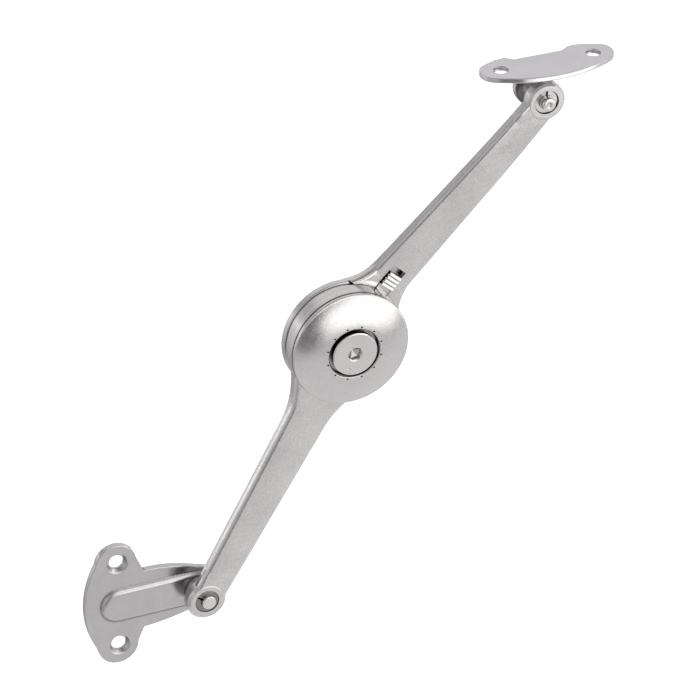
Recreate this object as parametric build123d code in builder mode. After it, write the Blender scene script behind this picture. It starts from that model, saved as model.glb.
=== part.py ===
from build123d import *
from math import cos, sin, radians
import os

# Friction flap stay, millimetres.
# Origin: midway between the two side-panel screw holes, on the mounting face.
# +Z up, +X toward the front of the cabinet, the stay stands off toward -Y.
# A height h is a distance from the side panel, so h = -y.

os.makedirs("parts", exist_ok=True)

# side-panel bracket
screw_pitch = 32.0
screw_hole_r = 2.5
countersink_r = 3.65
sheet = 2.0
lobe_r = 6.95
lobe_shift = 0.45
carcass_belly = 11.7
rib_height = 1.2
rib_base_r = 6.3
rib_draft = 42.0
rib_angle = 1.0
pivot_x = 27.65
pivot_z = 0.45
eye_x = 27.3

# arms
lower_length = 99.9
lower_angle = 59.84
upper_length = 101.2
upper_angle = 48.1
hub_x = eye_x + lower_length * cos(radians(lower_angle))
hub_z = pivot_z + lower_length * sin(radians(lower_angle))
flap_x = hub_x + upper_length * cos(radians(upper_angle))
flap_z = hub_z + upper_length * sin(radians(upper_angle))
edge_round = 1.7

# heights of the layers above the side panel
rib_top = sheet + rib_height
boss_back = 8.0
lower_back = 9.2
lower_front = 11.95
lower_ring_front = 12.05
drum_back = 6.7
disc_back = 2.5
disc_front = 5.15
root_front = 6.5
root_back = 2.8
slope_start = 24.0
slope_end = 70.0
slope = 0.0865
upper_thick = 2.85
upper_boss_back = 8.2
upper_ring_front = 12.15

# hub
hub_r = 19.9
drum_bore_r = 16.4
drum_floor = 8.8
sleeve_r = 5.0
sleeve_bore_r = 5.06
recess_r = 17.9
recess_front = 11.9
cap_joint = 12.45
cap_rim = 13.85
cap_top = 16.6
cap_hole_r = 8.75
screw_head_r = 7.65
screw_face = 17.3

# pivots
lower_eye_r = 6.7
upper_eye_r = 6.5
eye_bore_r = 4.1
pin_r = 2.4
bush_bore_r = 2.45
spacer_r = 4.6

# stop slider
slot_w = 5.6
slot_start = 16.4
slot_end = 29.2
button_start = 21.9
button_end = 27.1
slider_w = 5.0
slider_y = -0.15
tooth_pitch = 1.36
nose_r = 20.0

# flap bracket
flap_mid_x = 146.8
flap_mid_y = -7.65
flap_top = 174.5
flap_sheet = 1.6
ear_front = 2.9
ear_back = 0.9
ear_r = 7.7
ear_shift = 0.6
flap_belly = 9.95


def face(h, x=0.0, z=0.0, angle=0.0):
    """Sketch plane at height h, facing the viewer, turned by angle."""
    a = radians(angle)
    return Plane(origin=(x, -h, z), x_dir=(cos(a), 0, sin(a)), z_dir=(0, -1, 0))


def low(h):
    """Lower arm plane: local x runs from the middle of its eye to the hub."""
    return face(h, eye_x, pivot_z, lower_angle)


def hub(h):
    """Upper arm plane: local x runs from the hub to the flap pivot."""
    return face(h, hub_x, hub_z, upper_angle)


def side_view(x, z, angle, depth=0.0):
    """Side view of an arm: local x along the arm, local y the height."""
    a = radians(angle)
    view = Plane(origin=(x, 0, z), x_dir=(cos(a), 0, sin(a)), z_dir=(sin(a), 0, -cos(a)))
    return view.offset(depth)


def near_level(edge, h):
    """True for an edge that lies flat at height h."""
    box = edge.bounding_box()
    return abs(box.min.Y + h) < 1e-3 and abs(box.max.Y + h) < 1e-3


def bevelled_disc(x, z, back, front, radius, front_bevel, back_bevel=0.2):
    """Disc around a pivot axis with both rims bevelled."""
    with BuildPart() as disc:
        with BuildSketch(face(back, x, z)):
            Circle(radius)
        extrude(amount=front - back)
        chamfer([e for e in disc.edges() if near_level(e, front)], front_bevel)
        chamfer([e for e in disc.edges() if near_level(e, back)], back_bevel)
    return disc.part


# side-panel bracket: half-moon plate, tapered tongue, pressed rib
with BuildPart() as carcass_bracket:
    with BuildSketch(face(0)):
        with BuildLine():
            ThreePointArc((-3.9, -22.0), (-carcass_belly, 0), (-3.9, 22.0))
            Polyline((-3.9, 22.0), (4.95, 20.6), (7.95, 13.6), (9.0, 11.1))
            ThreePointArc((9.0, 11.1), (20.0, 10.1), (31.0, 6.4))
            Line((31.0, 6.4), (31.0, -6.1))
            ThreePointArc((31.0, -6.1), (20.0, -9.35), (8.7, -11.0))
            Polyline((8.7, -11.0), (7.5, -13.6), (4.4, -20.6), (-3.9, -22.0))
        make_face()
        with Locations((-lobe_shift, screw_pitch / 2), (-lobe_shift, -screw_pitch / 2)):
            Circle(lobe_r)
        with Locations((eye_x, pivot_z)):
            Circle(7.3)
    extrude(amount=sheet)
    with BuildSketch(face(sheet, eye_x / 2, pivot_z / 2 - 0.3, rib_angle)):
        SlotCenterToCenter(eye_x, 2 * rib_base_r)
    extrude(amount=rib_height, taper=rib_draft)
    rib_rim = [e for e in carcass_bracket.edges() if near_level(e, rib_top)]
    fillet(rib_rim, 1.6)
    with BuildSketch(face(0, eye_x / 2, pivot_z / 2 - 0.3, rib_angle)):
        SlotCenterToCenter(eye_x, 9.6)
    extrude(amount=rib_height, taper=20, mode=Mode.SUBTRACT)
    with BuildSketch(face(0, pivot_x, pivot_z)):
        Circle(pin_r)
    extrude(amount=rib_top, mode=Mode.SUBTRACT)
    with Locations(face(sheet)):
        with Locations((0, screw_pitch / 2), (0, -screw_pitch / 2)):
            CounterSinkHole(screw_hole_r, countersink_r, depth=sheet)
carcass_bracket.part.label = "carcass_bracket"
export_step(carcass_bracket.part, "parts/carcass_bracket.step")

flap_corner = (flap_mid_x, flap_mid_y, flap_top - flap_sheet)
flap_plane = Plane(origin=flap_corner, x_dir=(1, 0, 0), z_dir=(0, 0, 1))

# flap bracket: half-moon plate lying under the flap, ear bent down behind
with BuildPart() as flap_bracket:
    with BuildSketch(flap_plane):
        with BuildLine():
            ThreePointArc((-16.25, -6.5), (0, -flap_belly), (16.25, -6.5))
            for way in (1, -1):
                end = [(16.25, -6.5), (19.7, -4.85), (22.2, -2.4), (22.8, 0.3), (21.9, 3.4)]
                end += [(19.3, 5.2), (16.2, 6.5), (12.6, 7.2)]
                Spline(
                    *[(way * x, y) for x, y in end], tangents=[(way, 0.42), (-way, 0.1)]
                )
            Polyline((12.6, 7.2), (10.4, 7.2), (7.3, 5.1), (-9.4, 5.1), (-11.5, 7.2), (-12.6, 7.2))
        make_face()
    extrude(amount=flap_sheet)
    with BuildSketch(Plane.YZ.offset(flap_x + ear_shift - ear_r)):
        with BuildLine():
            bend = flap_top - 3.0
            Line((-5.0, flap_top), (-3.9, flap_top))
            ThreePointArc((-3.9, flap_top), (-1.779, flap_top - 0.879), (-ear_back, bend))
            Polyline(
                (-ear_back, bend),
                (-ear_back, flap_z - 7.0),
                (-ear_front, flap_z - 7.0),
                (-ear_front, bend),
            )
            ThreePointArc((-ear_front, bend), (-3.193, bend + 0.707), (-3.9, bend + 1.0))
            Polyline((-3.9, bend + 1.0), (-5.0, bend + 1.0), (-5.0, flap_top))
        make_face()
    extrude(amount=2 * ear_r)
    with BuildSketch(face(0, flap_x + ear_shift, flap_z + 1.9)):
        with Locations((0, -6)):
            Rectangle(20, 12)
        Circle(ear_r, mode=Mode.SUBTRACT)
    extrude(amount=ear_front + 0.5, mode=Mode.SUBTRACT)
    with BuildSketch(face(0, flap_x, flap_z)):
        Circle(pin_r)
    extrude(amount=ear_front + 0.5, mode=Mode.SUBTRACT)
    with BuildSketch(face(ear_back, flap_x, flap_z)):
        Circle(3.4)
    extrude(amount=0.9, taper=45, mode=Mode.SUBTRACT)
    with BuildSketch(flap_plane):
        with Locations((-screw_pitch / 2, 0), (screw_pitch / 2, 0)):
            Circle(screw_hole_r)
    extrude(amount=flap_sheet, mode=Mode.SUBTRACT)
flap_bracket.part.label = "flap_bracket"
export_step(flap_bracket.part, "parts/flap_bracket.step")

# lower arm: eye boss, tapered body with rounded front edges, open drum
with BuildPart() as lower_arm:
    with BuildSketch(low(drum_back + 0.3)) as lower_plan:
        Circle(5.6)
        with BuildLine():
            Polyline((0, -5.65), (lower_length, -8.4), (lower_length, 8.4), (0, 5.65), (0, -5.65))
        make_face()
        with Locations((lower_length, 0)):
            Circle(hub_r - 0.7)
        fillet([v for v in lower_plan.vertices() if 60 < v.X < 110], 26.0)
    extrude(amount=lower_front - drum_back - 0.3)
    fillet([e for e in lower_arm.edges() if near_level(e, lower_front)], edge_round)
    with BuildSketch(side_view(eye_x, pivot_z, lower_angle, -25)):
        with BuildLine():
            Polyline((-10, 5), (-10, lower_back), (68, lower_back), (80.5, drum_back + 0.3))
            Polyline((80.5, drum_back + 0.3), (80.5, 5), (-10, 5))
        make_face()
    extrude(amount=50, mode=Mode.SUBTRACT)
    add(bevelled_disc(eye_x, pivot_z, boss_back, lower_ring_front, lower_eye_r, 1.0))
    add(bevelled_disc(hub_x, hub_z, drum_back, cap_joint - 0.02, hub_r, 0.2, 0.3))
    with BuildSketch(face(drum_floor, hub_x, hub_z)):
        Circle(drum_bore_r)
    extrude(amount=6, mode=Mode.SUBTRACT)
    with BuildSketch(face(0, hub_x, hub_z)):
        Circle(sleeve_bore_r)
    extrude(amount=20, mode=Mode.SUBTRACT)
    # stop recess in the rim: its first wall faces the nose of the slider
    with BuildSketch(hub(drum_back - 0.5)):
        with BuildLine():
            fan = [(15.0, 2.7), (24.0, 2.7)]
            fan += [(23 * cos(radians(a)), -23 * sin(radians(a))) for a in (15, 45, 80, 122)]
            fan += [(12 * cos(radians(a)), -12 * sin(radians(a))) for a in (122, 80, 45, 15)]
            Polyline(*fan, fan[0])
        make_face()
        Circle(recess_r, mode=Mode.SUBTRACT)
    extrude(amount=recess_front - drum_back + 0.5, mode=Mode.SUBTRACT)
    with BuildSketch(face(boss_back, pivot_x, pivot_z)):
        Circle(bush_bore_r)
    extrude(amount=5, mode=Mode.SUBTRACT)
    with BuildSketch(low(boss_back + 1.0)):
        Circle(eye_bore_r)
    extrude(amount=4, mode=Mode.SUBTRACT)
lower_arm.part.label = "lower_arm"
export_step(lower_arm.part, "parts/lower_arm.step")


def arm_front(along):
    """Height of the upper arm's front face on its straight sloping part."""
    return root_front + slope * (along - slope_start)


def on_arm_front(edge):
    """True for an edge of the upper arm that lies in its front face."""
    mid = edge.center()
    along = (mid.X - hub_x) * cos(radians(upper_angle))
    along += (mid.Z - hub_z) * sin(radians(upper_angle))
    return -mid.Y > arm_front(along) - 1.6


# sloping body of the upper arm, cut out of a tall slab by its side profile
with BuildPart() as upper_body:
    with BuildSketch(hub(0)):
        with BuildLine():
            end = upper_length + 1.5
            Polyline((18, -7.8), (end, -5.5), (end, 5.35), (18, 7.65), (18, -7.8))
        make_face()
    extrude(amount=14)
    with BuildSketch(side_view(hub_x, hub_z, upper_angle, -12)):
        with BuildLine():
            start = (12, arm_front(12))
            bend = (slope_end, arm_front(slope_end))
            tip = (110, arm_front(slope_end) + slope * (110 - slope_end) / 2)
            Line(start, bend)
            TangentArc(bend, tip, tangent=(1, slope))
            Line(tip, (tip[0], tip[1] - upper_thick))
            TangentArc(
                (bend[0], bend[1] - upper_thick), (tip[0], tip[1] - upper_thick), tangent=(1, slope)
            )
            Polyline((bend[0], bend[1] - upper_thick), (12, start[1] - upper_thick), start)
        make_face()
    extrude(amount=24, mode=Mode.INTERSECT)
    long_edges = [e for e in upper_body.edges() if e.length > 20]
    fillet([e for e in long_edges if on_arm_front(e)], edge_round)

# root of the upper arm: a raised step on the rear disc with flared sides
with BuildPart() as upper_root:
    with BuildSketch(hub(root_back)) as root_plan:
        with BuildLine():
            Polyline((0, -8.25), (31.5, -7.4), (31.5, 7.25), (0, 8.1), (0, -8.25))
        make_face()
        Circle(hub_r)
        fillet([v for v in root_plan.vertices() if 14 < v.X < 19.5], 18.5)
    extrude(amount=root_front - root_back)
    fillet([e for e in upper_root.edges() if near_level(e, root_front)], edge_round)
    with BuildSketch(side_view(hub_x, hub_z, upper_angle, -25)):
        with BuildLine():
            Polyline((16, 1), (16, root_back), (21.5, 3.6), (27, 3.75), (33, 4.25), (33, 1), (16, 1))
        make_face()
    extrude(amount=50, mode=Mode.SUBTRACT)
    with BuildSketch(hub(disc_front - 0.5)):
        with Locations((-3.5, 0)):
            Rectangle(41, 60)
        Circle(hub_r - 2.0)
    extrude(amount=5, mode=Mode.SUBTRACT)

# upper arm: the body and root above joined to the rear disc and the eye boss
with BuildPart() as upper_arm:
    add(upper_body.part)
    add(upper_root.part)
    add(bevelled_disc(hub_x, hub_z, disc_back, disc_front, hub_r, 0.4, 0.3))
    add(bevelled_disc(flap_x, flap_z, upper_boss_back, upper_ring_front, upper_eye_r, 0.8))
    # rib of the rear disc: the bottom of the groove behind the drum
    with BuildSketch(hub(disc_front)):
        Circle(hub_r - 0.6)
        Circle(17.5, mode=Mode.SUBTRACT)
    extrude(amount=drum_back - disc_front - 0.08)
    # slot for the slider, a wider pocket behind it and a seat for the plate
    with BuildSketch(hub(disc_front)):
        with Locations(((slot_start + slot_end) / 2, 0)):
            Rectangle(slot_end - slot_start, slot_w)
    extrude(amount=5, mode=Mode.SUBTRACT)
    with BuildSketch(hub(0)):
        with Locations((25.6, 0)):
            Rectangle(9.2, 8.2)
    extrude(amount=disc_front, mode=Mode.SUBTRACT)
    with BuildSketch(hub(0)):
        with Locations((25.6, 0)):
            Rectangle(10.6, 9.6)
    extrude(amount=4.1, mode=Mode.SUBTRACT)
    # hub: round seat for the cover, square seat for the nut, bore for its tube
    with BuildSketch(hub(0)):
        Circle(10.6)
    extrude(amount=2.9, mode=Mode.SUBTRACT)
    with BuildSketch(hub(0)):
        Rectangle(13.1, 13.1)
    extrude(amount=4.1, mode=Mode.SUBTRACT)
    with BuildSketch(hub(0)):
        Circle(sleeve_r)
    extrude(amount=20, mode=Mode.SUBTRACT)
    # flap eye: flat seat behind for the washer, pin hole, seat for the bush
    with BuildSketch(face(upper_boss_back - 2, flap_x, flap_z)):
        Circle(upper_eye_r)
    extrude(amount=2, mode=Mode.SUBTRACT)
    with BuildSketch(face(upper_boss_back - 1, flap_x, flap_z)):
        Circle(bush_bore_r)
    extrude(amount=6, mode=Mode.SUBTRACT)
    with BuildSketch(face(upper_boss_back + 1.0, flap_x, flap_z)):
        Circle(eye_bore_r)
    extrude(amount=5, mode=Mode.SUBTRACT)
upper_arm.part.label = "upper_arm"
export_step(upper_arm.part, "parts/upper_arm.step")

# stop slider: ribbed button, guide flange behind the slot, nose in the recess
with BuildPart() as stop_slider:
    with BuildSketch(hub(disc_front + 0.1)):
        with Locations(((18.2 + button_end) / 2, slider_y)):
            Rectangle(button_end - 18.2, slider_w)
    extrude(amount=1.2)
    with BuildSketch(hub(4.45)):
        with Locations(((21.6 + 27.3) / 2, 0)):
            Rectangle(5.7, 7.8)
    extrude(amount=0.6)
    with BuildSketch(hub(5.0)):
        with Locations(((button_start + button_end) / 2, slider_y)):
            Rectangle(button_end - button_start, slider_w)
    extrude(amount=1.9)
    with BuildSketch(hub(6.0)):
        Circle(nose_r)
        Circle(18.2, mode=Mode.SUBTRACT)
        with Locations((19.0, slider_y)):
            Rectangle(8, slider_w, mode=Mode.INTERSECT)
    extrude(amount=recess_front - 0.2 - 6.0)
    # four saw teeth that slope down toward the flap
    with BuildSketch(side_view(hub_x, hub_z, upper_angle, -slider_y - slider_w / 2)):
        for tooth in range(4):
            foot = button_start + 0.05 + tooth_pitch * tooth
            with BuildLine():
                Polyline(
                    (foot, 6.8),
                    (foot + 0.08, 7.85),
                    (foot + 0.98, 7.5),
                    (foot + 1.02, 6.8),
                    (foot, 6.8),
                )
            make_face()
    extrude(amount=slider_w)
stop_slider.part.label = "stop_slider"
export_step(stop_slider.part, "parts/stop_slider.step")

# plate that closes the slider pocket, and the bowed spring in front of it
with BuildPart() as slider_plate:
    with BuildSketch(hub(3.7)):
        with Locations((25.6, 0)):
            RectangleRounded(10.4, 9.4, 0.6)
    extrude(amount=0.35)
slider_plate.part.label = "slider_plate"
export_step(slider_plate.part, "parts/slider_plate.step")

with BuildPart() as detent_spring:
    with BuildSketch(side_view(hub_x, hub_z, upper_angle, -2.5)):
        with BuildLine() as bow:
            ThreePointArc((21.3, 4.07), (25.5, 4.32), (29.9, 4.07))
            Line((29.9, 4.07), (29.9, 4.15))
            ThreePointArc((29.9, 4.15), (25.5, 4.43), (21.3, 4.15))
            Line((21.3, 4.15), (21.3, 4.07))
        make_face()
    extrude(amount=5.0)
detent_spring.part.label = "detent_spring"
export_step(detent_spring.part, "parts/detent_spring.step")

# front cap: domed shell with a skirt, a spigot in the drum and twelve ticks
cap_axis = Plane(origin=(hub_x, 0, hub_z), x_dir=(1, 0, 0), z_dir=(0, 0, 1))
hub_line = Axis((hub_x, 0, hub_z), (0, 1, 0))
with BuildPart() as front_cap:
    with BuildSketch(cap_axis):
        with BuildLine():
            Line((hub_r, -cap_joint - 0.2), (hub_r, 0.5 - cap_rim))
            ThreePointArc(
                (hub_r, 0.5 - cap_rim), (hub_r - 0.13, 0.16 - cap_rim), (hub_r - 0.5, -cap_rim)
            )
            ThreePointArc(
                (hub_r - 0.5, -cap_rim), (14.6, -15.65), (cap_hole_r + 0.25, -cap_top)
            )
            Line((cap_hole_r + 0.25, -cap_top), (cap_hole_r, 0.25 - cap_top))
            Line((cap_hole_r, 0.25 - cap_top), (cap_hole_r, 1.35 - cap_top))
            ThreePointArc((cap_hole_r, 1.35 - cap_top), (12.2, -14.85), (15.1, -14.05))
            Polyline(
                (15.1, -14.05),
                (15.1, -11.2),
                (drum_bore_r - 0.05, -11.2),
                (drum_bore_r - 0.05, -cap_joint),
                (hub_r - 0.2, -cap_joint),
                (hub_r, -cap_joint - 0.2),
            )
        make_face()
    revolve(axis=hub_line)
    with BuildSketch(face(cap_top - 0.55, hub_x, hub_z)):
        with PolarLocations(9.5, 12, start_angle=15):
            Circle(0.36)
    extrude(amount=2, mode=Mode.SUBTRACT)
front_cap.part.label = "front_cap"
export_step(front_cap.part, "parts/front_cap.step")

# adjusting screw: disc head with a hex socket and a pointer mark
with BuildPart() as adjusting_screw:
    with BuildSketch(face(14.3, hub_x, hub_z)):
        Circle(screw_head_r)
    extrude(amount=screw_face - 14.3)
    head_rim = [e for e in adjusting_screw.edges() if near_level(e, screw_face)]
    chamfer(head_rim, 0.3)
    with BuildSketch(face(4.3, hub_x, hub_z)):
        Circle(2.95)
    extrude(amount=10.1)
    with BuildSketch(face(screw_face - 2.0, hub_x, hub_z)):
        RegularPolygon(2.0, 6, major_radius=False, rotation=10)
    extrude(amount=3, mode=Mode.SUBTRACT)
    with BuildSketch(face(screw_face - 2.0, hub_x, hub_z)):
        RegularPolygon(2.0, 6, major_radius=False, rotation=10)
    extrude(amount=-1.0, taper=59, mode=Mode.SUBTRACT)
    with BuildSketch(face(screw_face - 0.5, hub_x, hub_z)):
        Circle(2.0)
    extrude(amount=0.5, taper=-45, mode=Mode.SUBTRACT)
    with BuildSketch(face(screw_face - 0.2, hub_x, hub_z, -116)):
        with Locations((5.35, 0)):
            SlotOverall(1.5, 0.6, rotation=90)
    extrude(amount=1, mode=Mode.SUBTRACT)
adjusting_screw.part.label = "adjusting_screw"
export_step(adjusting_screw.part, "parts/adjusting_screw.step")

# hub nut: square flange in the rear disc, threaded tube with two flats
with BuildPart() as hub_nut:
    with BuildSketch(hub(2.95)):
        Rectangle(13.0, 13.0)
    extrude(amount=1.1)
    with BuildSketch(hub(2.95)):
        Circle(sleeve_r)
    extrude(amount=8.55)
    with BuildSketch(hub(9.85)):
        Rectangle(12, 12)
        Rectangle(12, 8.8, mode=Mode.SUBTRACT)
    extrude(amount=2, mode=Mode.SUBTRACT)
    with BuildSketch(hub(2)):
        Circle(3.0)
    extrude(amount=11, mode=Mode.SUBTRACT)
hub_nut.part.label = "hub_nut"
export_step(hub_nut.part, "parts/hub_nut.step")

with BuildPart() as rear_cover:
    with BuildSketch(hub(2.4)):
        Circle(10.5)
    extrude(amount=0.5)
rear_cover.part.label = "rear_cover"
export_step(rear_cover.part, "parts/rear_cover.step")


def export_ring(name, h, thick, inner, outer, x=hub_x, z=hub_z):
    """Flat ring around a pivot axis, written to its own file."""
    with BuildPart() as ring:
        with BuildSketch(face(h, x, z)):
            Circle(outer)
            Circle(inner, mode=Mode.SUBTRACT)
        extrude(amount=thick)
    ring.part.label = name
    export_step(ring.part, "parts/" + name + ".step")


# friction pack and pivot rings
export_ring("rear_lining", disc_front + 0.04, 1.47, 5.4, 17.3)
export_ring("front_lining", drum_floor + 0.03, 1.0, 5.4, 14.8)
export_ring("carcass_spacer", rib_top, 4.4, bush_bore_r, spacer_r, pivot_x, pivot_z)
export_ring("carcass_washer", rib_top + 4.42, 0.36, pin_r + 0.1, 4.9, pivot_x, pivot_z)
export_ring("flap_spacer", ear_front, 4.9, bush_bore_r, spacer_r, flap_x, flap_z)
export_ring("flap_washer", ear_front + 4.92, 0.36, pin_r + 0.1, 4.9, flap_x, flap_z)

with BuildPart() as pressure_plate:
    with BuildSketch(hub(9.9)):
        Circle(14.4)
        with BuildSketch(mode=Mode.SUBTRACT):
            Circle(sleeve_r + 0.05)
            Rectangle(12, 8.9, mode=Mode.INTERSECT)
    extrude(amount=1.2)
pressure_plate.part.label = "pressure_plate"
export_step(pressure_plate.part, "parts/pressure_plate.step")

# two coned disc springs, one the mirror of the other
for name, near, far in (("disc_spring_rear", 11.15, 11.58), ("disc_spring_front", 12.8, 12.4)):
    with BuildPart() as cone:
        with BuildSketch(cap_axis):
            with BuildLine():
                Polyline(
                    (12.0, -near),
                    (5.3, -far),
                    (5.3, -far - 0.8),
                    (12.0, -near - 0.8),
                    (12.0, -near),
                )
            make_face()
        revolve(axis=hub_line)
    cone.part.label = name
    export_step(cone.part, "parts/" + name + ".step")

with BuildPart() as thrust_washer:
    with BuildSketch(face(13.65, hub_x, hub_z)):
        Circle(8.5)
    extrude(amount=0.6)
    with BuildSketch(face(11.7, hub_x, hub_z)):
        Circle(sleeve_r)
    extrude(amount=2.0)
    with BuildSketch(face(10, hub_x, hub_z)):
        Circle(3.0)
    extrude(amount=6, mode=Mode.SUBTRACT)
thrust_washer.part.label = "thrust_washer"
export_step(thrust_washer.part, "parts/thrust_washer.step")


def export_pin(name, x, z, tail, tail_cone, seat, groove, front, tip, dimple=0):
    """Riveted pivot pin with a groove for the lip of the snap bush."""
    with BuildPart() as pin:
        with BuildSketch(face(tail, x, z)):
            Circle(3.3 if tail_cone else 3.6)
        extrude(amount=seat - tail, taper=45 if tail_cone else 0)
        with BuildSketch(face(tail, x, z)):
            Circle(pin_r)
        extrude(amount=front - tail)
        top_rim = [e for e in pin.edges() if near_level(e, front)]
        fillet(top_rim, tip)
        with BuildSketch(face(groove, x, z)):
            Circle(pin_r + 1)
            Circle(pin_r - 0.3, mode=Mode.SUBTRACT)
        extrude(amount=0.9, mode=Mode.SUBTRACT)
        if dimple:
            with BuildSketch(face(front - 0.6 * dimple, x, z)):
                Circle(0.4 * dimple)
            extrude(amount=0.6 * dimple, taper=-45, mode=Mode.SUBTRACT)
    pin.part.label = name
    export_step(pin.part, "parts/" + name + ".step")


export_pin("carcass_pin", pivot_x, pivot_z, 0.4, False, rib_height, 10.2, 13.2, 0.4)
export_pin("flap_pin", flap_x, flap_z, ear_back, True, ear_back + 0.85, 10.3, 14.3, 0.8, 1.0)


def export_bush(name, x, z, middle_x, back, thick, lip, slit_angle):
    """Split snap bush: a C-shaped ring with a lip that rides in the groove."""
    with BuildPart() as bush:
        with BuildSketch(face(back, middle_x, z)):
            Circle(eye_bore_r)
        extrude(amount=thick)
        front_rim = [e for e in bush.edges() if near_level(e, back + thick)]
        chamfer(front_rim, 0.25)
        with BuildSketch(face(back, x, z)):
            Circle(bush_bore_r)
        extrude(amount=thick, mode=Mode.SUBTRACT)
        with BuildSketch(face(lip, x, z)):
            Circle(bush_bore_r + 0.2)
            Circle(pin_r - 0.22, mode=Mode.SUBTRACT)
        extrude(amount=0.5)
        with BuildSketch(face(back - 1, x, z, slit_angle)):
            with Locations((4, 0)):
                Rectangle(8, 0.7)
        extrude(amount=thick + 2, mode=Mode.SUBTRACT)
    bush.part.label = name
    export_step(bush.part, "parts/" + name + ".step")


export_bush("lower_bush", pivot_x, pivot_z, eye_x, boss_back + 1.0, 2.85, 10.4, 150)
export_bush("upper_bush", flap_x, flap_z, flap_x, upper_boss_back + 1.0, 2.3, 10.5, 86)
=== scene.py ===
import math

import bpy
from mathutils import Matrix, Vector

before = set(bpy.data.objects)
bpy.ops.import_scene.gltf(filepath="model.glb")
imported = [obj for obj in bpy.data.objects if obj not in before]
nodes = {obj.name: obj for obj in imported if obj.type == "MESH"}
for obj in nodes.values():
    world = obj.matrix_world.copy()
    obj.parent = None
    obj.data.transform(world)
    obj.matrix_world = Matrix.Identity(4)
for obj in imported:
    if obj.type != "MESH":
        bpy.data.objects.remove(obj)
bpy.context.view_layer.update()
scene = bpy.context.scene

MM = 0.001
WHITE = (1.0, 1.0, 1.0, 1.0)


# camera
AZIMUTH = math.radians(-21.913)
ELEVATION = math.radians(31.205)
AIM = Vector((78.424, -10.187, 84.337)) * MM
DISTANCE = 1448.0 * MM
LENS = 231.2

right = Vector((math.cos(AZIMUTH), math.sin(AZIMUTH), 0.0))
back = Vector((
    math.sin(AZIMUTH) * math.cos(ELEVATION),
    -math.cos(AZIMUTH) * math.cos(ELEVATION),
    math.sin(ELEVATION),
))
up = back.cross(right)
camera_data = bpy.data.cameras.new("camera")
camera_data.lens = LENS
camera_data.sensor_width = 36.0
camera_data.clip_end = 20.0
camera = bpy.data.objects.new("camera", camera_data)
scene.collection.objects.link(camera)
camera.matrix_world = Matrix.Translation(AIM + back * DISTANCE) @ Matrix(
    (right, up, back)
).transposed().to_4x4()
scene.camera = camera


# node tools
def add(tree, kind, settings=None, **links):
    """New shader node.

    Links are socket names with _ for a space, or i and the socket's number.
    """
    made = tree.nodes.new(kind)
    for key, value in (settings or {}).items():
        setattr(made, key, value)
    for key, value in links.items():
        numbered = key[0] == "i" and key[1:].isdigit()
        socket = made.inputs[int(key[1:]) if numbered else key.replace("_", " ")]
        if isinstance(value, bpy.types.NodeSocket):
            tree.links.new(value, socket)
        else:
            socket.default_value = value
    return made


def maths(tree, operation, a, b=0.0):
    return add(tree, "ShaderNodeMath", {"operation": operation}, i0=a, i1=b).outputs[0]


def vector_maths(tree, operation, a, b=(0.0, 0.0, 0.0)):
    """Vector result, or a number for a length or a dot product."""
    made = add(tree, "ShaderNodeVectorMath", {"operation": operation}, i0=a, i1=b)
    return made.outputs["Value" if operation in ("LENGTH", "DOT_PRODUCT") else "Vector"]


def ramp(tree, value, low, high, to_low=0.0, to_high=1.0, smooth=True):
    """Value mapped from low..high, in either order, to to_low..to_high and held there."""
    kind = "SMOOTHSTEP" if smooth else "LINEAR"
    return add(
        tree, "ShaderNodeMapRange", {"interpolation_type": kind, "clamp": True},
        i0=value, i1=low, i2=high, i3=to_low, i4=to_high,
    ).outputs[0]


def mix_colour(tree, factor, a, b, blend="MIX"):
    return add(
        tree, "ShaderNodeMix", {"data_type": "RGBA", "blend_type": blend},
        i0=factor, i6=a, i7=b,
    ).outputs[2]


def mix_value(tree, factor, a, b):
    return add(tree, "ShaderNodeMix", {"data_type": "FLOAT"}, i0=factor, i2=a, i3=b).outputs[0]


def noise(tree, place, scale, detail=2.0, roughness=0.5):
    return add(
        tree, "ShaderNodeTexNoise", None,
        Vector=place, Scale=scale, Detail=detail, Roughness=roughness,
    ).outputs[0]


def line_noise(tree, at, scale, detail):
    """Noise along a single number."""
    return add(
        tree, "ShaderNodeTexNoise", {"noise_dimensions": "1D"},
        W=at, Scale=scale, Detail=detail,
    ).outputs[0]


def component(tree, place, axis):
    return add(tree, "ShaderNodeSeparateXYZ", None, Vector=place).outputs[axis]


def new_material(name):
    made = bpy.data.materials.new(name)
    made.use_nodes = True
    made.node_tree.nodes.clear()
    return made


# pivots and the ring of the lower eye, which lies a little beside its pin
HUB = Vector((77.4914, 0.0, 86.8261)) * MM
LOWER_PIN = Vector((27.65, 0.0, 0.45)) * MM
UPPER_PIN = Vector((145.0761, 0.0, 162.1504)) * MM
LOWER_EYE = Vector((27.3, 0.0, 0.45)) * MM

# crown of the arms: width of the strip along each long edge that falls away, and the
# distances from either end of the arm and from the hub's axis over which it sets in
CROWN_WIDTH = 7.0 * MM
END_FADE = (7.5 * MM, 11.0 * MM)
HUB_FADE = (21.5 * MM, 27.0 * MM)

# swell at the root of the upper arm: its middle, reach and height, how much it is
# squeezed along X and Z, and how far in front of Y = 0 it begins, which is just off
# the back of the disc
ROOT = Vector((85.0, 0.0, 103.0)) * MM
ROOT_REACH = 6.0 * MM
ROOT_HEIGHT = 0.9 * MM
ROOT_SQUEEZE = (1.0, 0.0, 1.6)
ROOT_BACK = 2.7 * MM

# turned band of the hub: its inner and outer radius, each with a soft border, its
# streaks, and the joint of cap and drum, which lies this far in front of Y = 0
BAND_INNER = (18.6 * MM, 19.3 * MM)
BAND_OUTER = (20.2 * MM, 20.0 * MM)
STREAK_SCALE = 1800.0
STREAK_DEPTH = 0.45
CAP_JOINT = 12.45 * MM
# painted shade in the seam of cap and drum: its soft border and how dark it gets
JOINT_BORDER = (0.75 * MM, 0.35 * MM)
JOINT_SHADE = 0.93

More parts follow.
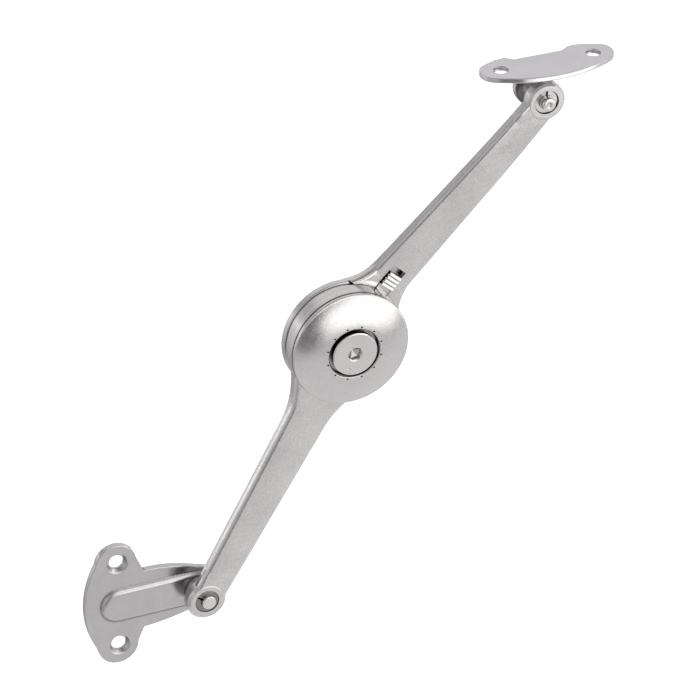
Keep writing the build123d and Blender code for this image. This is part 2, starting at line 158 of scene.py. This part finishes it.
# grain: the range that noise mostly keeps to, the clouds in the plating, the rings of
# turned pieces, and the height and tone these rings add
NOISE_RANGE = (0.3, 0.7)
CLOUD_SCALE = 90.0
RING_SCALE = 5200.0
RING_HEIGHT = 2.0e-6
RING_TONE = (0.96, 1.04)

# edge wear and painted edge light: cosine between face and rounded normal from flat
# to fully marked, the part of the middle grain that breaks an edge up and what it
# leaves, and how much smoother an edge gets
EDGE_TURN = (0.995, 0.86)
EDGE_BREAK = (0.35, 0.62)
EDGE_LEFT = (0.4, 1.0)
EDGE_POLISH = 0.06

# painted shade from ambient occlusion: how far the painted shade of a corner fades out, and
# the range of a shallow bend that gets it
CORNER_FADE = 0.6
CREASE_SHADE_RANGE = (0.84, 0.97)

# rays that the rounded edges and the painted shade in corners take at each point
RAYS = 8


def grey(tree, value):
    return add(tree, "ShaderNodeCombineColor", None, i0=value, i1=value, i2=value).outputs[0]


def tinted(colour, factor):
    return tuple(min(c * factor, 1.0) for c in colour) + (1.0,)


def radius_from(tree, place, axis):
    """Distance from a pivot axis, which runs along Y."""
    moved = vector_maths(tree, "SUBTRACT", place, axis)
    return vector_maths(tree, "LENGTH", vector_maths(tree, "MULTIPLY", moved, (1.0, 0.0, 1.0)))


def crown(tree, place, start, end, half_start, half_end, slope):
    """Height of the gently crowned front of an arm.

    The arm runs from start to end; its half width there is half_start, half_end,
    and slope is how far its surface leans at the long edges.
    """
    run = end - start
    length = run.length
    along_axis = run / length
    across_axis = Vector((along_axis.z, 0.0, -along_axis.x))
    moved = vector_maths(tree, "SUBTRACT", place, start)
    along = vector_maths(tree, "DOT_PRODUCT", moved, along_axis)
    across = vector_maths(tree, "DOT_PRODUCT", moved, across_axis)
    half = ramp(tree, along, 0.0, length, half_start, half_end, smooth=False)
    reach = maths(tree, "SUBTRACT", half, maths(tree, "ABSOLUTE", across))
    fall = maths(tree, "MAXIMUM", maths(tree, "SUBTRACT", CROWN_WIDTH, reach), 0.0)
    shape = maths(
        tree, "MULTIPLY", maths(tree, "MULTIPLY", fall, fall), -slope / (2 * CROWN_WIDTH)
    )
    ends = maths(
        tree, "MULTIPLY", ramp(tree, along, *END_FADE),
        ramp(tree, along, length - END_FADE[0], length - END_FADE[1]),
    )
    free = ramp(tree, radius_from(tree, place, HUB), *HUB_FADE)
    return maths(tree, "MULTIPLY", shape, maths(tree, "MULTIPLY", ends, free))


def cast_root(tree, place, depth_along):
    """Height of the soft swell where the upper arm runs out into its disc."""
    moved = vector_maths(tree, "SUBTRACT", place, ROOT)
    away = vector_maths(tree, "LENGTH", vector_maths(tree, "MULTIPLY", moved, ROOT_SQUEEZE))
    swell = maths(tree, "MULTIPLY", ramp(tree, away, ROOT_REACH, 0.0), ROOT_HEIGHT)
    in_front = maths(tree, "LESS_THAN", depth_along, -ROOT_BACK)
    return maths(tree, "MULTIPLY", swell, in_front)


def hub_band(tree, place, depth_along, grains):
    """The grains, with streaks on the hub's turned band and painted shade along the cap's
    joint.
    """
    reach = radius_from(tree, place, HUB)
    on_band = maths(
        tree, "MULTIPLY", ramp(tree, reach, *BAND_INNER), ramp(tree, reach, *BAND_OUTER)
    )
    streaks = line_noise(tree, depth_along, STREAK_SCALE, 3.0)
    streak = maths(tree, "MULTIPLY", maths(tree, "SUBTRACT", streaks, 0.5), on_band)
    streak = maths(tree, "ADD", maths(tree, "MULTIPLY", streak, STREAK_DEPTH), 1.0)
    # painted shade in the seam where the cap meets the drum's band
    off_joint = maths(tree, "ABSOLUTE", maths(tree, "ADD", depth_along, CAP_JOINT))
    joint_shade = maths(tree, "MULTIPLY", on_band, ramp(tree, off_joint, *JOINT_BORDER))
    joint_shade = maths(tree, "SUBTRACT", 1.0, maths(tree, "MULTIPLY", joint_shade, JOINT_SHADE))
    return maths(tree, "MULTIPLY", maths(tree, "MULTIPLY", grains, streak), joint_shade)


def worn_and_lit_edges(tree, bevel, middle):
    """Mask for edge wear and painted edge light: 1 where the rounded normal turns away from
    the face, broken up by the grain.
    """
    face_normal = add(tree, "ShaderNodeNewGeometry").outputs["Normal"]
    turned_by = vector_maths(tree, "DOT_PRODUCT", bevel, face_normal)
    return maths(
        tree, "MULTIPLY", ramp(tree, turned_by, *EDGE_TURN),
        ramp(tree, middle, *EDGE_BREAK, *EDGE_LEFT),
    )


def painted_corner_shade(tree, gap_mm, shut, corner_shade_tone, crease_shade):
    """Painted shade: 1 on open faces, less in gaps and bends, where ambient occlusion finds
    them.
    """
    corner = add(
        tree, "ShaderNodeAmbientOcclusion", {"samples": RAYS}, Distance=gap_mm * MM
    ).outputs["AO"]
    shade_factor = ramp(tree, corner, shut, shut + CORNER_FADE, corner_shade_tone, 1.0)
    if crease_shade:
        bends = ramp(tree, corner, *CREASE_SHADE_RANGE, 1.0 - crease_shade, 1.0)
        shade_factor = maths(tree, "MULTIPLY", shade_factor, bends)
    return shade_factor


def metal(
    name, colour, rough, grain=1900.0, depth=1.0e-5, blotch=0.05, speckle=0.05,
    swing=0.08, edge_wear_and_light=0.15, round_mm=0.25, arm=None, lathe=None, draft=0.0, corner_shade_tone=0.25,
    gap_mm=0.9, shut=0.1, crease_shade=0.0,
):
    """Plated metal: sandy grain, cloudy colour, worn edges with painted light, painted shade
    in corners.

    grain and depth are the scale and height of the sandy relief, speckle its tone,
    blotch the tone of the clouds, swing the range of the roughness. edge_wear_and_light
    lightens edges, as wear and as a painted highlight, or darkens them below 0 as
    painted shade, and round_mm is their radius. A gap of gap_mm gets painted shade
    down to the tone corner_shade_tone, fully so where its ambient occlusion is under
    shut; crease_shade paints shade into shallow bends as well. arm crowns the front
    of a casting, and adds the swell, the hub's turned band and painted shade along
    the cap's joint. lathe is the axis of a turned piece, which then shows fine rings.
    draft leans the sheared edges of a sheet.
    """
    made = new_material(name)
    tree = made.node_tree
    place = add(tree, "ShaderNodeTexCoord").outputs["Object"]
    fine = noise(tree, place, grain, detail=3.0, roughness=0.65)
    middle = noise(tree, place, grain / 4.0)
    cloud = noise(tree, place, CLOUD_SCALE, detail=3.0)

    bevel = add(tree, "ShaderNodeBevel", {"samples": RAYS}, Radius=round_mm * MM).outputs[0]
    edge = worn_and_lit_edges(tree, bevel, middle)

    grains = ramp(tree, fine, *NOISE_RANGE, 1.0 - speckle, 1.0 + speckle, smooth=False)
    height = maths(tree, "MULTIPLY", fine, depth)
    if lathe is not None:
        rings = line_noise(tree, radius_from(tree, place, lathe), RING_SCALE, 2.0)
        height = maths(tree, "ADD", height, maths(tree, "MULTIPLY", rings, RING_HEIGHT))
        grains = maths(tree, "MULTIPLY", grains, ramp(tree, rings, *NOISE_RANGE, *RING_TONE))
    if draft:
        leaning = maths(tree, "MULTIPLY", component(tree, place, "Z"), draft)
        height = maths(tree, "SUBTRACT", height, leaning)
    if arm is not None:
        depth_along = component(tree, place, "Y")
        height = maths(tree, "ADD", height, crown(tree, place, **arm))
        height = maths(tree, "ADD", height, cast_root(tree, place, depth_along))
        grains = hub_band(tree, place, depth_along, grains)

    body = mix_colour(
        tree, ramp(tree, cloud, *NOISE_RANGE),
        tinted(colour, 1 - blotch), tinted(colour, 1 + blotch),
    )
    body = mix_colour(tree, 1.0, body, grey(tree, grains), "MULTIPLY")
    # edge tone: above 0 it lightens edges as wear and a painted highlight; below 0 it darkens
    # them as painted shade
    body = mix_colour(tree, edge, body, tinted(colour, 1 + edge_wear_and_light))
    # painted shade: the colour gets darker in gaps and shallow bends
    shade_factor = painted_corner_shade(tree, gap_mm, shut, corner_shade_tone, crease_shade)
    body = mix_colour(tree, 1.0, body, grey(tree, shade_factor), "MULTIPLY")

    roughness = ramp(tree, middle, *NOISE_RANGE, rough - swing / 2, rough + swing / 2)
    polished = maths(tree, "MULTIPLY", edge, EDGE_POLISH)
    roughness = maths(tree, "SUBTRACT", roughness, polished)
    bump = add(
        tree, "ShaderNodeBump", None, Strength=1.0, Distance=1.0, Height=height, Normal=bevel
    ).outputs[0]
    shader = add(
        tree, "ShaderNodeBsdfPrincipled", None,
        Base_Color=body, Metallic=1.0, Roughness=roughness, Normal=bump,
    )
    add(tree, "ShaderNodeOutputMaterial", None, Surface=shader.outputs[0])
    return made


# friction lining: its colours, how much its fibres are squeezed along Z, the scales of
# fibres and flecks, the soft border of a fleck, and its roughness
LINING_BASE = (0.025, 0.025, 0.026, 1)
LINING_FIBRE = (0.06, 0.058, 0.056, 1)
LINING_FLECK = (0.16, 0.14, 0.11, 1)
FIBRE_SQUEEZE = (1.0, 1.0, 6.0)
FIBRE_SCALE = 900.0
FLECK_SCALE = 1400.0
FLECK_BORDER = (0.16, 0.10)
LINING_ROUGHNESS = (0.75, 0.95)


def lining(name):
    """Pressed friction lining: nearly black, with fibres and pale flecks."""
    made = new_material(name)
    tree = made.node_tree
    place = add(tree, "ShaderNodeTexCoord").outputs["Object"]
    fibre_place = add(
        tree, "ShaderNodeMapping", None, Vector=place, Scale=FIBRE_SQUEEZE
    ).outputs[0]
    fibre = noise(tree, fibre_place, FIBRE_SCALE, detail=4.0, roughness=0.7)
    fleck = add(
        tree, "ShaderNodeTexVoronoi", None, Vector=place, Scale=FLECK_SCALE
    ).outputs["Distance"]
    colour = mix_colour(tree, ramp(tree, fibre, *NOISE_RANGE), LINING_BASE, LINING_FIBRE)
    colour = mix_colour(tree, ramp(tree, fleck, *FLECK_BORDER), colour, LINING_FLECK)
    bump = add(
        tree, "ShaderNodeBump", None, Strength=0.6, Distance=2.0e-5, Height=fibre
    ).outputs[0]
    roughness = ramp(tree, fibre, *NOISE_RANGE, *LINING_ROUGHNESS)
    shader = add(
        tree, "ShaderNodeBsdfPrincipled", None,
        Base_Color=colour, Roughness=roughness, Normal=bump,
    )
    add(tree, "ShaderNodeOutputMaterial", None, Surface=shader.outputs[0])
    return made


# colours
NICKEL = (0.53, 0.513, 0.514)
SHEET = (0.465, 0.448, 0.452)
BRIGHT = (0.60, 0.588, 0.585)
SPRING = (0.42, 0.41, 0.405)
# the lower bush is darkened as painted shade around the lower pin
SHADED_BUSH = (0.23, 0.223, 0.221)
FLAP = (0.53, 0.517, 0.535)
ARM = (0.56, 0.541, 0.543)

# surfaces by how a piece is made
CAST = dict(depth=2.4e-5, speckle=0.12)
PRESSED = dict(grain=1700.0, depth=1.5e-6, blotch=0.03, speckle=0.02)
ROLLED = dict(grain=1500.0, depth=2.0e-6, blotch=0.06, speckle=0.03)
TURNED = dict(
    grain=1500.0, depth=1.0e-6, blotch=0.03, speckle=0.02, swing=0.06, edge_wear_and_light=0.1,
    round_mm=0.15,
)
LOWER_CROWN = dict(
    start=LOWER_EYE, end=HUB, half_start=5.65 * MM, half_end=8.4 * MM, slope=0.12
)
UPPER_CROWN = dict(
    start=UPPER_PIN, end=HUB, half_start=5.4 * MM, half_end=7.8 * MM, slope=0.09
)

# materials
lower_casting = metal("satin_nickel_lower_arm", ARM, 0.24, arm=LOWER_CROWN, **CAST)
# the upper arm: deep painted shade in its gaps, and painted shade on its edges
upper_casting = metal(
    "satin_nickel_upper_arm", NICKEL, 0.24, arm=UPPER_CROWN, corner_shade_tone=0.06, gap_mm=1.8,
    shut=0.28, edge_wear_and_light=-0.4, **CAST
)
slider_casting = metal("satin_nickel_slider", NICKEL, 0.2, depth=6.0e-6, gap_mm=0.3)
cap_casting = metal(
    "satin_nickel_cap", NICKEL, 0.18, grain=2500.0, depth=3.0e-5, blotch=0.03,
    speckle=0.07, round_mm=0.15, gap_mm=3.0,
)
# the sheet gets painted shade in the shallow creases of its rib
sheet_steel = metal(
    "satin_nickel_sheet", SHEET, 0.24, edge_wear_and_light=0.1, round_mm=0.7, crease_shade=0.62, **PRESSED
)
# the flap's edges are darkened as painted shade
flap_steel = metal(
    "satin_nickel_flap", FLAP, 0.2, edge_wear_and_light=-0.18, round_mm=0.6, corner_shade_tone=0.12, gap_mm=2.2,
    draft=0.22, **PRESSED
)
hub_turned = metal(
    "bright_nickel_hub", BRIGHT, 0.16, lathe=HUB, corner_shade_tone=0.12, gap_mm=2.5, **TURNED
)
lower_turned = metal("bright_nickel_lower", BRIGHT, 0.16, lathe=LOWER_PIN, **TURNED)
upper_turned = metal("bright_nickel_upper", BRIGHT, 0.16, lathe=UPPER_PIN, **TURNED)
spring = metal(
    "spring_steel", SPRING, 0.22, edge_wear_and_light=0.2, round_mm=0.12, gap_mm=2.0, **ROLLED
)
# dark tone as painted shade around the lower pin, with lighter edges as wear and painted
# highlight
shaded_bush_steel = metal(
    "bush_painted_shade", SHADED_BUSH, 0.24, edge_wear_and_light=0.6, round_mm=0.2, corner_shade_tone=0.1, gap_mm=1.6, **ROLLED
)
black_lining = lining("friction_lining")

FINISHES = (
    (lower_casting, ("lower_arm",)),
    (upper_casting, ("upper_arm",)),
    (slider_casting, ("stop_slider",)),
    (cap_casting, ("front_cap",)),
    (flap_steel, ("flap_bracket",)),
    (sheet_steel, ("carcass_bracket", "rear_cover", "slider_plate")),
    (hub_turned, ("adjusting_screw", "hub_nut", "pressure_plate", "thrust_washer")),
    (lower_turned, ("carcass_pin", "carcass_spacer")),
    (upper_turned, ("flap_pin", "flap_spacer", "upper_bush")),
    (shaded_bush_steel, ("lower_bush",)),
    (spring, (
        "carcass_washer", "flap_washer", "disc_spring_rear", "disc_spring_front",
        "detent_spring",
    )),
    (black_lining, ("front_lining", "rear_lining")),
)
for material, names in FINISHES:
    for name in names:
        nodes[name].data.materials.clear()
        nodes[name].data.materials.append(material)


# floor: its height, half its side, and its paper
FLOOR = -0.10
FLOOR_HALF = 6.0
PAPER = (0.9, 0.9, 0.9, 1)
PAPER_GLOW = 0.5


def paper(name):
    """Pale matt paper, which looks a little brighter than its light makes it."""
    made = new_material(name)
    tree = made.node_tree
    matt = add(tree, "ShaderNodeBsdfDiffuse", None, Color=PAPER)
    seen = add(tree, "ShaderNodeLightPath").outputs["Is Camera Ray"]
    glow = add(
        tree, "ShaderNodeEmission", None,
        Color=WHITE, Strength=maths(tree, "MULTIPLY", seen, PAPER_GLOW),
    )
    both = add(tree, "ShaderNodeAddShader", None, i0=matt.outputs[0], i1=glow.outputs[0])
    add(tree, "ShaderNodeOutputMaterial", None, Surface=both.outputs[0])
    return made


floor_mesh = bpy.data.meshes.new("floor")
floor_corners = [
    (x * FLOOR_HALF, y * FLOOR_HALF, FLOOR) for x, y in ((-1, -1), (1, -1), (1, 1), (-1, 1))
]
floor_mesh.from_pydata(floor_corners, [], [(0, 1, 2, 3)])
floor = bpy.data.objects.new("floor", floor_mesh)
scene.collection.objects.link(floor)
floor_mesh.materials.append(paper("floor_paper"))
floor.visible_glossy = False


def direction(azimuth, elevation):
    """Unit vector; azimuth 0 is the front of the stay (-Y), positive toward +X."""
    a, e = math.radians(azimuth), math.radians(elevation)
    return Vector((math.sin(a) * math.cos(e), -math.cos(a) * math.cos(e), math.sin(e)))


# exponent of the patches' outline: 2 is an ellipse, and more is squarer
ROUNDNESS = 2.2


def patch(tree, ray, azimuth, elevation, half_width, half_height, soft):
    """1 inside a soft rounded patch of the studio dome, 0 outside."""
    mid = direction(azimuth, elevation)
    across = Vector((0, 0, 1)).cross(mid).normalized()
    parts = []
    for axis, half in ((across, half_width), (mid.cross(across), half_height)):
        off = vector_maths(tree, "DOT_PRODUCT", ray, axis)
        off = maths(tree, "DIVIDE", off, math.sin(math.radians(half)))
        parts.append(maths(tree, "POWER", maths(tree, "ABSOLUTE", off), ROUNDNESS))
    reach = maths(tree, "POWER", maths(tree, "ADD", *parts), 1.0 / ROUNDNESS)
    inside = ramp(tree, reach, 1.0 + soft, 1.0 - soft)
    ahead = maths(tree, "GREATER_THAN", vector_maths(tree, "DOT_PRODUCT", ray, mid), 0.0)
    return maths(tree, "MULTIPLY", inside, ahead)


# studio dome: white, with soft patches that are darker or brighter; each has its
# azimuth, elevation, half width and half height in degrees, its softness and its tone
PATCHES = (
    (-85, -22, 68, 34, 0.35, 0.8),
    (-66, -30, 20, 12, 0.4, 0.5),
    (-112, 6, 36, 8, 0.3, 1.75),
    (-52, -8, 26, 20, 0.4, 0.64),
    (100, 5, 30, 25, 0.3, 1.1),
    (-60, 42, 60, 20, 0.35, 0.6),
    (0, 84, 60, 26, 0.3, 0.55),
    (28, 42, 30, 13, 0.35, 1.9),
    (66, 30, 14, 12, 0.4, 2.4),
    (-148, 20, 22, 11, 0.4, 0.6),
    (20, 69, 36, 8, 0.4, 0.1),
    (20, -25, 46, 5, 0.5, 0.75),
    (-16, -15, 16, 9, 0.35, 0.32),
    (-19, 1, 12, 20, 0.4, 0.28),
    (172, -38, 38, 18, 0.4, 0.45),
)

world = bpy.data.worlds.new("studio")
scene.world = world
world.use_nodes = True
dome = world.node_tree
dome.nodes.clear()
ray = add(dome, "ShaderNodeTexCoord").outputs["Generated"]
level = 1.0
for *outline, tone in PATCHES:
    level = mix_value(dome, patch(dome, ray, *outline), level, tone)
seen = add(dome, "ShaderNodeLightPath").outputs["Is Camera Ray"]
sky = add(
    dome, "ShaderNodeBackground", None,
    Color=WHITE, Strength=mix_value(dome, seen, level, 1.0),
)
add(dome, "ShaderNodeOutputWorld", None, Surface=sky.outputs[0])

# one oval soft box, level with the hub and to the right in front of it
SOFT_BOX = dict(azimuth=28.0, elevation=0.0, distance=0.8, wide=1.05, high=0.6, radiance=1.1)
toward = direction(SOFT_BOX["azimuth"], SOFT_BOX["elevation"])
lamp = bpy.data.lights.new("soft_box", "AREA")
lamp.shape = "ELLIPSE"
lamp.size = SOFT_BOX["wide"]
lamp.size_y = SOFT_BOX["high"]
area = math.pi * lamp.size * lamp.size_y / 4
lamp.energy = SOFT_BOX["radiance"] * math.pi * area
soft_box = bpy.data.objects.new("soft_box", lamp)
soft_box.location = HUB + toward * SOFT_BOX["distance"]
soft_box.rotation_euler = toward.to_track_quat("Z", "Y").to_euler()
soft_box.visible_camera = False
scene.collection.objects.link(soft_box)

scene.view_settings.view_transform = "Standard"
